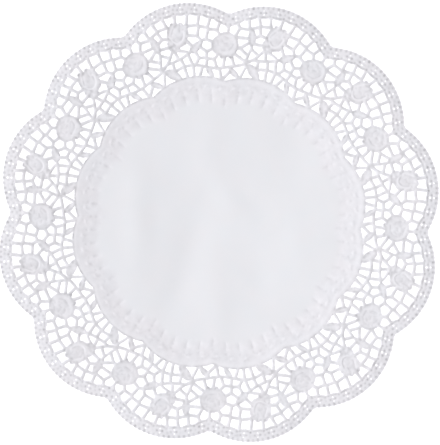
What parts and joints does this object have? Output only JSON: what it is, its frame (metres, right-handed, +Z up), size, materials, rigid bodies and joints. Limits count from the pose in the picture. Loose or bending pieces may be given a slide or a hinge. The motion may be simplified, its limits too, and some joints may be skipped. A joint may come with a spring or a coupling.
{
  "type": "paper lace doily",
  "caption": "Round white paper lace doily with a scalloped edge, an openwork flower border and a plain middle, lying flat.",
  "frame": {"origin": "centre of the doily on its underside", "axes": "+Z up through the sheet, its thinnest way; +Y through the tip of one lobe of the edge"},
  "size_m": [0.3, 0.3, 0.0017],
  "materials": {
    "lace_paper": "matt uncoated white paper"
  },
  "bodies": {
    "root": {"doily": "lace_paper"}
  },
  "joints": []
}
